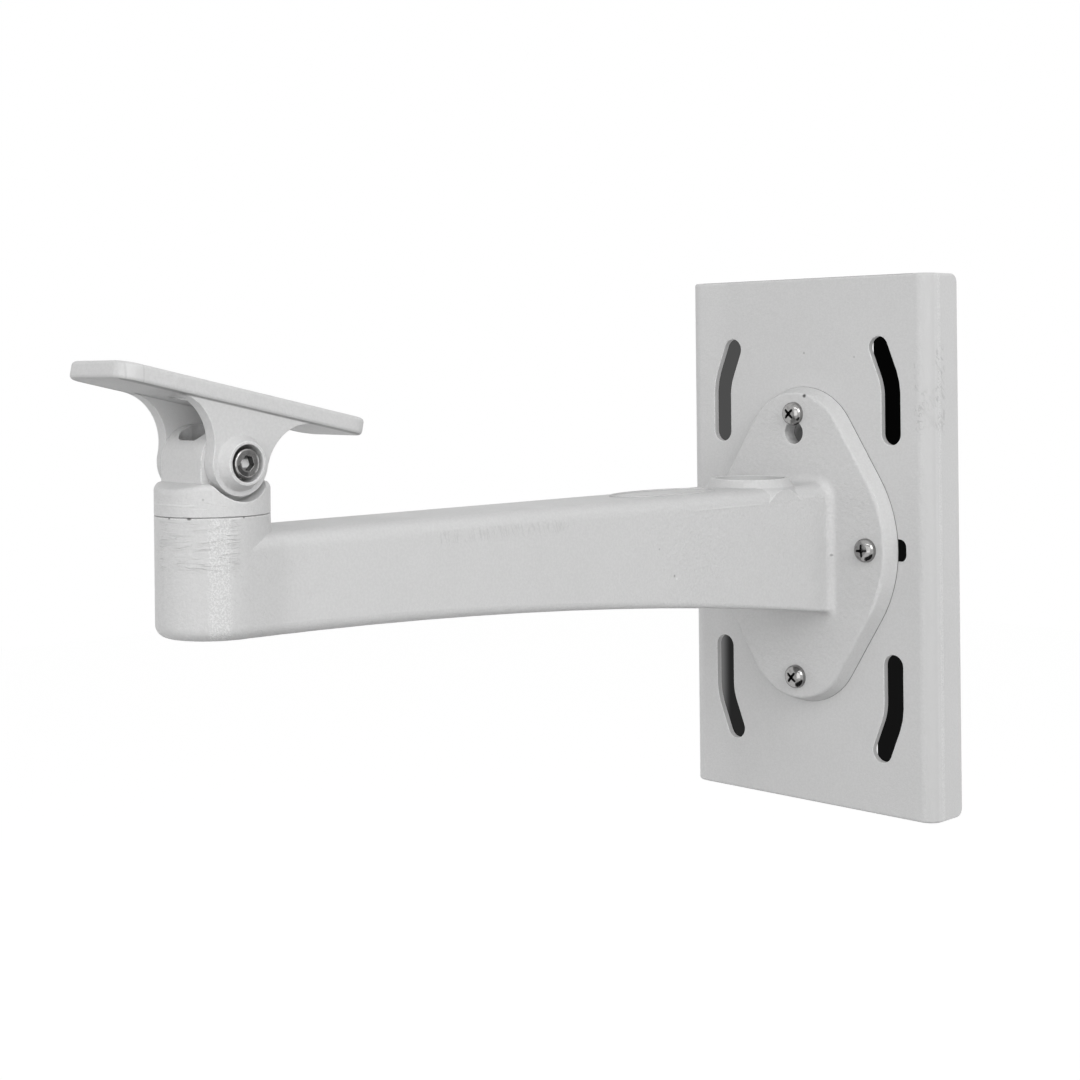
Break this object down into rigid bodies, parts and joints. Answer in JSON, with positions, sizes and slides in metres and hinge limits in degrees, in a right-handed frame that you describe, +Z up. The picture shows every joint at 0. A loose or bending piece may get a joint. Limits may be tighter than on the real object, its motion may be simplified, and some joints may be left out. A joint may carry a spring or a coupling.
{
  "type": "camera bracket",
  "caption": "Wall and pole bracket for a security camera: folded back plate, hollow cast arm, swivel knuckle and a tilting bar that carries the camera.",
  "frame": {"origin": "middle of the plane that the two side flanges of the back plate rest on", "axes": "+Z up, +Y into the wall, so the arm points along -Y; +X to the right as seen from the wall"},
  "size_m": [0.141, 0.4115, 0.25],
  "materials": {
    "plate_coat": "fine powder coat, matt light grey",
    "casting_coat": "fine powder coat, matt light grey",
    "knuckle_coat": "fine powder coat, matt light grey",
    "head_coat": "fine powder coat, matt light grey",
    "bright_steel": "zinc plated, bright",
    "screw_steel": "zinc plated, bright",
    "dark_steel": "black oxide"
  },
  "bodies": {
    "mount": {"back_plate": "plate_coat", "arm_casting": "casting_coat", "pan_lock_screw": "dark_steel", "flange_screw_top": "screw_steel", "flange_washer_top": "bright_steel", "flange_nut_top": "bright_steel", "flange_screw_right": "screw_steel", "flange_washer_right": "bright_steel", "flange_nut_right": "bright_steel", "flange_screw_bottom": "screw_steel", "flange_washer_bottom": "bright_steel", "flange_nut_bottom": "bright_steel", "flange_screw_left": "screw_steel", "flange_washer_left": "bright_steel", "flange_nut_left": "bright_steel"},
    "swivel": {"swivel_knuckle": "knuckle_coat"},
    "head": {"tilt_head": "head_coat", "pivot_screw": "bright_steel", "pivot_washer": "bright_steel", "pivot_nut": "bright_steel"}
  },
  "joints": [
    {"name": "pan", "type": "hinge", "parent": "mount", "child": "swivel", "pos_m": [0, -0.364, 0.0342], "axis": [0, 0, 1], "range_deg": [-180, 180]},
    {"name": "tilt", "type": "hinge", "parent": "swivel", "child": "head", "pos_m": [0, -0.364, 0.0523], "axis": [1, 0, 0], "range_deg": [-27, 51]}
  ]
}
